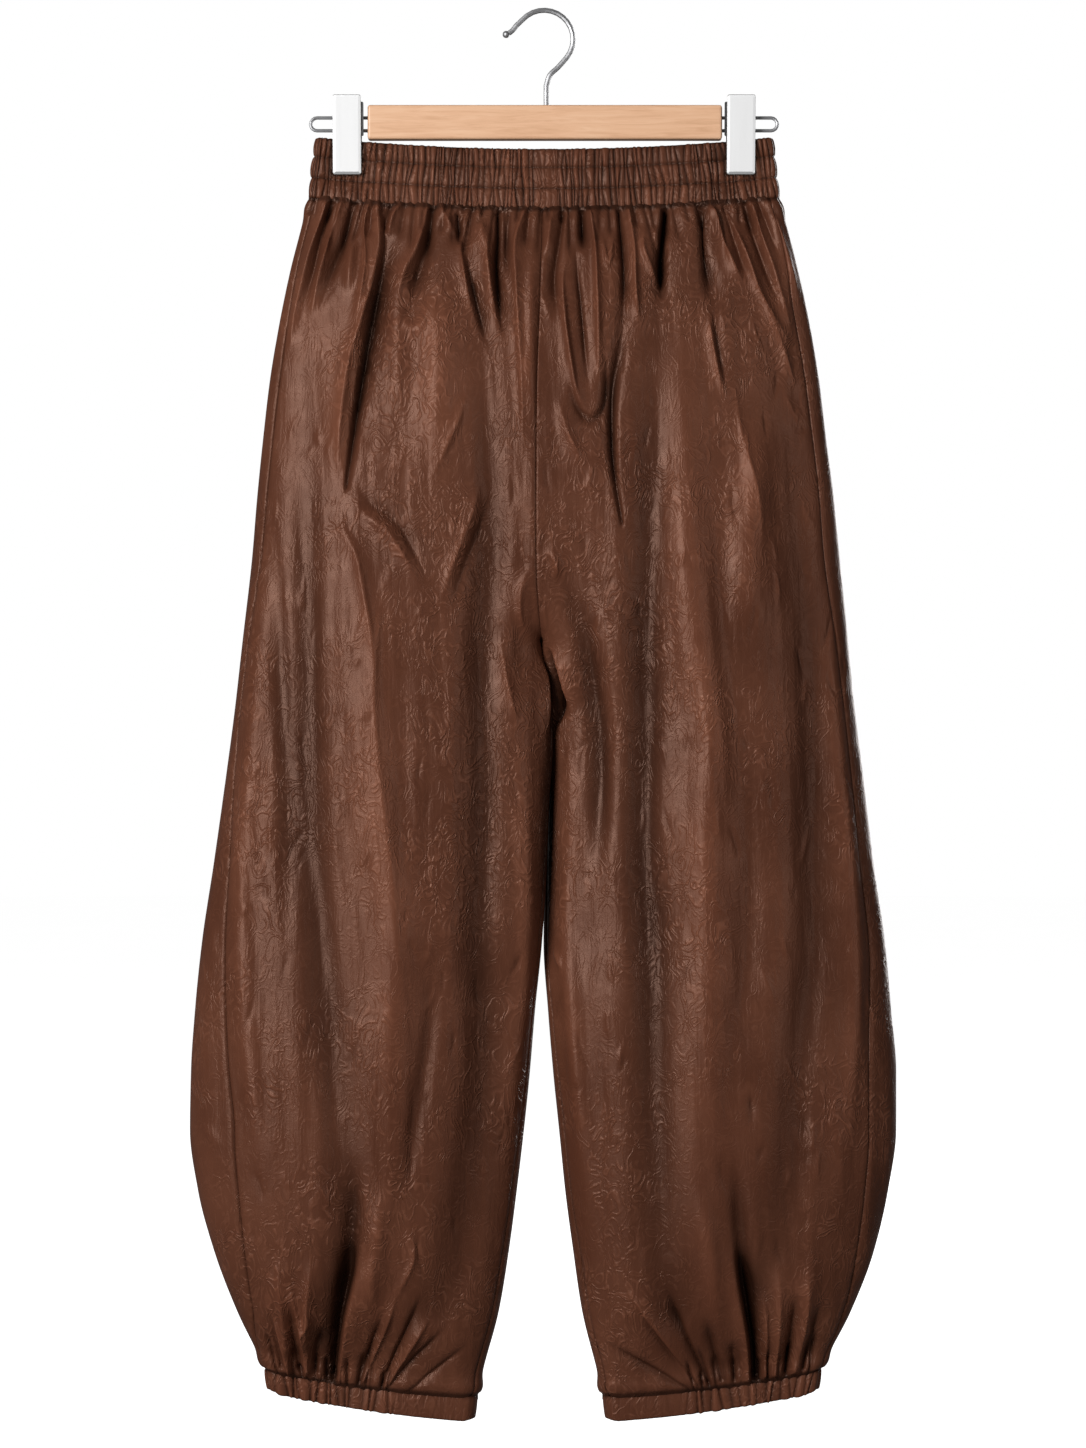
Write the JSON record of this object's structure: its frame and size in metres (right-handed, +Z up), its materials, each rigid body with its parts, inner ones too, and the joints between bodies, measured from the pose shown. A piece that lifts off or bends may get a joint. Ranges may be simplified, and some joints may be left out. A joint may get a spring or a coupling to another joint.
{
  "type": "faux leather trousers on a clip hanger",
  "caption": "Balloon trousers in faux leather with an elastic gathered waistband and cuffs, hung by metal clips from a wooden hanger with a wire hook.",
  "frame": {"origin": "highest point inside the hook, where a rail or peg carries the hanger", "axes": "+Z up, along the hanging trousers; the front of the trousers faces -Y; the wearer's right is -X"},
  "size_m": [0.5496, 0.1044, 1.1005],
  "materials": {
    "faux_leather": "dark brown, semi-gloss, finely crinkled",
    "maple": "pale, satin, with faint straight grain",
    "chromed_wire": "bright",
    "satin_clip": "satin, almost white",
    "spring_steel": "dark"
  },
  "bodies": {
    "root": {"front_leg_right": "faux_leather", "front_leg_left": "faux_leather", "back_leg_right": "faux_leather", "back_leg_left": "faux_leather", "waistband_front": "faux_leather", "waistband_back": "faux_leather", "cuff_right": "faux_leather", "cuff_left": "faux_leather", "hanger_bar": "maple", "hanger_hook": "chromed_wire", "rail_right": "chromed_wire", "rail_left": "chromed_wire", "clip_front_right": "satin_clip", "clip_back_right": "satin_clip", "clip_saddle_right": "spring_steel", "clip_front_left": "satin_clip", "clip_back_left": "satin_clip", "clip_saddle_left": "spring_steel"}
  },
  "joints": []
}
